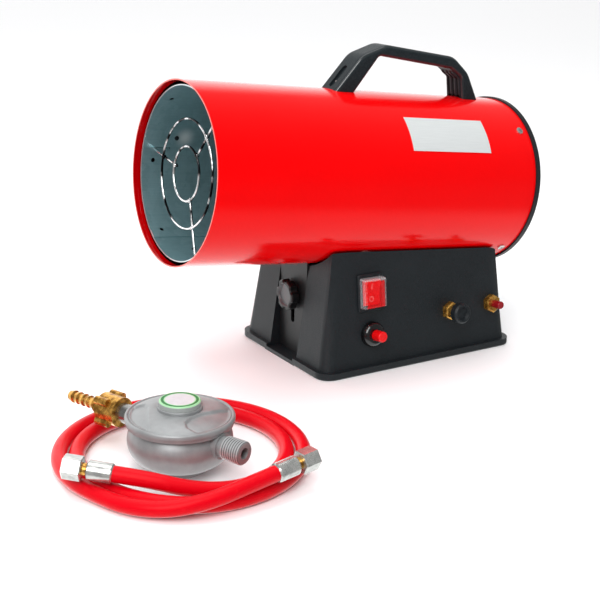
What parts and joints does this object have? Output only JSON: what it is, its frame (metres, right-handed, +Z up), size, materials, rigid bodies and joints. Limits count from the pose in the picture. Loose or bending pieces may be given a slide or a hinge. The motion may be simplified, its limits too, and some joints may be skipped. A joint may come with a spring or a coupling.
{
  "type": "portable propane heater",
  "caption": "Tilting fan-blown gas heater: a red sheet-steel tube with a carrying handle on a moulded base, with its coiled gas hose and pressure regulator.",
  "frame": {"origin": "on the floor, below the middle of the base", "axes": "+Z up; -X is the way the hot-air outlet looks; the controls are on the -Y side"},
  "size_m": [0.5645, 0.3579, 0.3056],
  "materials": {
    "red_paint": "gloss red enamel",
    "galvanised": "galvanised sheet, satin",
    "zinc_plate": "bright zinc plating",
    "chrome_wire": "bright chrome wire",
    "foil": "bare satin foil",
    "black_mould": "fine grained moulding",
    "black_gloss": "gloss black moulding",
    "black_powder": "black powder coat",
    "burner_steel": "heat-tinted steel",
    "ceramic": "white glazed ceramic",
    "copper": "soft copper pipe",
    "brass": "machined brass",
    "motor_grey": "grey enamel",
    "fan_black": "black nylon",
    "steel": "ground steel",
    "red_plastic": "gloss red moulding",
    "clear_cover": "clear moulding",
    "hose_rubber": "red rubber, satin",
    "cap_rubber": "dark red soft cap",
    "diecast": "satin die casting",
    "cap_white": "white cap with a green ring",
    "block_white": "cream moulding"
  },
  "bodies": {
    "base": {"base_housing": "black_mould", "bottom_plate": "black_powder", "bottom_screws": "zinc_plate", "clamp_stud": "steel", "tilt_pin": "steel", "switch_frame": "black_gloss", "rocker_cover": "clear_cover", "switch_body": "black_gloss", "igniter_collar": "black_gloss", "igniter_body": "black_gloss", "valve_nut": "brass", "valve_body": "brass", "inlet_fitting": "brass", "supply_pipe": "copper", "cable_gland": "black_gloss", "terminal_block": "block_white"},
    "tube": {"outer_shell": "red_paint", "rear_trim_ring": "black_mould", "rear_screws": "zinc_plate", "label_plate": "foil", "inner_chamber": "galvanised", "chamber_screws": "zinc_plate", "front_guard": "chrome_wire", "flame_baffle": "galvanised", "burner_cup": "burner_steel", "burner_nozzle": "brass", "burner_pipe": "copper", "spark_electrode": "ceramic", "thermocouple": "copper", "overheat_thermostat": "black_gloss", "fan_motor": "motor_grey", "motor_bracket": "galvanised", "rear_grille": "black_powder", "handle": "black_mould", "handle_screws": "zinc_plate", "tilt_bracket": "black_powder", "tube_lugs": "black_powder"},
    "knob": {"clamp_knob": "black_mould"},
    "rocker_paddle": {"rocker": "red_plastic"},
    "igniter": {"igniter_button": "red_plastic"},
    "valve": {"valve_knob": "black_gloss"},
    "dust_cap": {"inlet_cap": "cap_rubber"},
    "fan_set": {"fan": "fan_black", "fan_shaft": "steel"},
    "hose": {"hose_coil": "hose_rubber", "hose_start": "hose_rubber", "hose_end": "hose_rubber", "ferrule_a": "zinc_plate", "ferrule_b": "zinc_plate", "hose_nipple_a": "brass", "hose_nipple_b": "brass"},
    "nut_a": {"hose_nut_a": "zinc_plate"},
    "nut_b": {"hose_nut_b": "zinc_plate"},
    "regulator": {"regulator_body": "diecast", "regulator_cover": "diecast", "regulator_cap": "cap_white", "inlet_stub": "steel", "hose_barb": "brass"},
    "union_nut": {"wing_nut": "brass"}
  },
  "joints": [
    {"name": "tube_tilt", "type": "hinge", "parent": "base", "child": "tube", "pos_m": [0.088, 0, 0.05], "axis": [0, 1, 0], "range_deg": [0, 8]},
    {"name": "knob_turn", "type": "hinge", "parent": "base", "child": "knob", "pos_m": [-0.106, 0, 0.065], "axis": [-1, 0, 0], "continuous": true},
    {"name": "rocker_press", "type": "hinge", "parent": "base", "child": "rocker_paddle", "pos_m": [-0.0586, -0.06842, 0.0789], "axis": [-1, 0, 0], "range_deg": [0, 14]},
    {"name": "igniter_push", "type": "slide", "parent": "base", "child": "igniter", "axis": [0, 0.9914, -0.1305], "range_m": [0, 0.006], "stiffness_N_per_m": 400, "springref_m": -0.003},
    {"name": "valve_push", "type": "slide", "parent": "base", "child": "valve", "axis": [0, 0.9914, -0.1305], "range_m": [0, 0.005], "stiffness_N_per_m": 500, "springref_m": -0.003},
    {"name": "dust_cap_pull", "type": "slide", "parent": "base", "child": "dust_cap", "axis": [0, -0.9914, 0.1305], "range_m": [0, 0.014]},
    {"name": "fan_spin", "type": "hinge", "parent": "tube", "child": "fan_set", "pos_m": [0.05301, 0, 0.16779], "axis": [0.9945, 0, -0.1045], "continuous": true},
    {"name": "hose_lift", "type": "slide", "parent": "base", "child": "hose", "axis": [0, 0, 1], "range_m": [0, 0.06]},
    {"name": "nut_a_turn", "type": "hinge", "parent": "hose", "child": "nut_a", "pos_m": [-0.41008, -0.18262, 0.02397], "axis": [-0.7686, 0.6341, 0.0847], "continuous": true},
    {"name": "nut_b_turn", "type": "hinge", "parent": "hose", "child": "nut_b", "pos_m": [-0.24755, -0.25599, 0.0231], "axis": [0.9863, 0.1498, 0.0697], "continuous": true},
    {"name": "regulator_lift", "type": "slide", "parent": "hose", "child": "regulator", "axis": [0, 0, 1], "range_m": [0, 0.06]},
    {"name": "union_nut_turn", "type": "hinge", "parent": "regulator", "child": "union_nut", "pos_m": [-0.3454, -0.10627, 0.03], "axis": [-0.3843, 0.9232, 0], "continuous": true}
  ]
}
